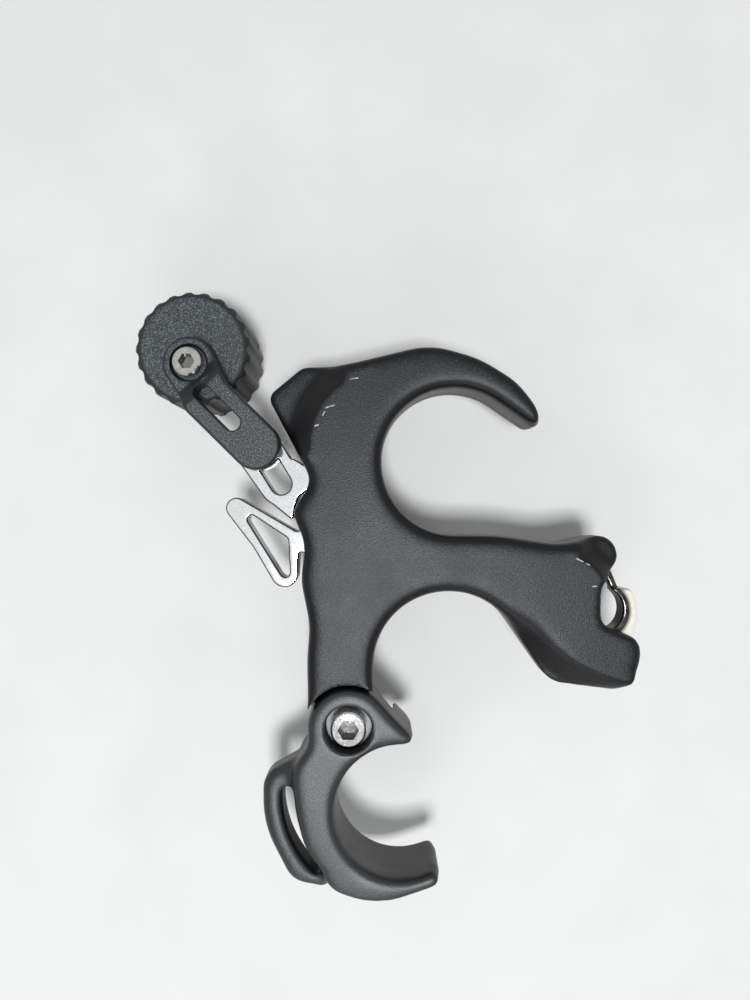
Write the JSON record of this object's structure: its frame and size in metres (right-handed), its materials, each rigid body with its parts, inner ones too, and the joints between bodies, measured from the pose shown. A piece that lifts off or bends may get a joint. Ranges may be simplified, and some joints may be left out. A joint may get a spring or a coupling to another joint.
{
  "type": "archery thumb release",
  "caption": "Hand-held archery release with finger hooks, rope hook, thumb barrel on a slotted arm, cocking lever and swivelling ring-finger extension",
  "frame": {"origin": "on the flat back face of the handle, where the head arm meets the spine", "axes": "+X from the levers to the rope hook, +Y up the handle away from the finger ring, +Z out of the front face"},
  "size_m": [0.0996, 0.119, 0.0265],
  "materials": {
    "body_black": "bead blasted and black anodised, satin",
    "arm_black": "black anodised with a coarse sparkling grain",
    "ring_graphite": "satin graphite anodised",
    "lever_silver": "silver machined faces with dark side walls",
    "hook_polish": "polished",
    "screw_steel": "bright turned stainless steel",
    "dark_steel": "black oxide steel",
    "steel": "ground steel"
  },
  "bodies": {
    "handle": {"handle_body": "body_black", "rear_cover": "body_black", "cover_screws": "dark_steel", "dowel_pins": "steel", "hook_pin": "steel", "sear_pin": "steel", "trigger_pin": "steel", "cocking_pin": "steel", "trigger_spring": "steel", "cocking_spring": "steel", "sear_spring": "steel", "threaded_insert": "steel", "extension_screw": "screw_steel", "extension_washer": "dark_steel"},
    "trigger": {"trigger_lever": "lever_silver"},
    "sear": {"sear_lever": "steel"},
    "cocking": {"cocking_lever": "lever_silver"},
    "link": {"cocking_link": "steel"},
    "hook": {"rope_hook": "hook_polish"},
    "clamp": {"arm_clamp_screw": "dark_steel", "arm_washer": "steel"},
    "arm": {"barrel_arm": "arm_black", "barrel_screw": "screw_steel", "barrel_washer": "dark_steel"},
    "barrel": {"thumb_barrel": "arm_black"},
    "extension": {"finger_extension": "ring_graphite"}
  },
  "joints": [
    {"name": "trigger_press", "type": "hinge", "parent": "handle", "child": "trigger", "pos_m": [-0.0089, 0.0049, 0.0067], "axis": [0, 0, 1], "range_deg": [0, 6], "stiffness_Nm_per_rad": 0.6, "springref_deg": -5.73, "deforming": ["trigger_spring"]},
    {"name": "sear_tilt", "type": "hinge", "parent": "handle", "child": "sear", "pos_m": [0.024, -0.0115, 0.0067], "axis": [0, 0, 1], "range_deg": [-2.2, 0], "deforming": ["sear_spring"]},
    {"name": "link_slide", "type": "slide", "parent": "handle", "child": "link", "axis": [1, 0, 0], "range_m": [0, 0.0016], "stiffness_N_per_m": 900, "springref_m": -0.0006, "deforming": ["cocking_spring"]},
    {"name": "cocking_press", "type": "hinge", "parent": "handle", "child": "cocking", "pos_m": [-0.0096, -0.0062, 0.0067], "axis": [0, 0, 1], "range_deg": [0, 16.1]},
    {"name": "hook_open", "type": "hinge", "parent": "handle", "child": "hook", "pos_m": [0.0453, -0.0286, 0.0067], "axis": [0, 0, -1], "range_deg": [0, 60]},
    {"name": "arm_slide", "type": "slide", "parent": "trigger", "child": "clamp", "axis": [-0.5255, 0.8508, 0], "range_m": [-0.001, 0.0004]},
    {"name": "arm_swivel", "type": "hinge", "parent": "clamp", "child": "arm", "pos_m": [-0.02292, 0.01202, 0.0067], "axis": [0, 0, 1], "range_deg": [-3, 25]},
    {"name": "barrel_spin", "type": "hinge", "parent": "arm", "child": "barrel", "pos_m": [-0.03634, 0.0283, 0.0067], "axis": [0, 0, 1], "continuous": true},
    {"name": "extension_swivel", "type": "hinge", "parent": "handle", "child": "extension", "pos_m": [-0.0051, -0.0424, 0.0067], "axis": [0, 0, 1], "range_deg": [-20, 20]}
  ],
  "couplings": [
    {"joint": "sear_tilt", "follows": "trigger_press", "ratio": -0.35},
    {"joint": "cocking_press", "follows": "link_slide", "rad_per_m": 174.5}
  ]
}
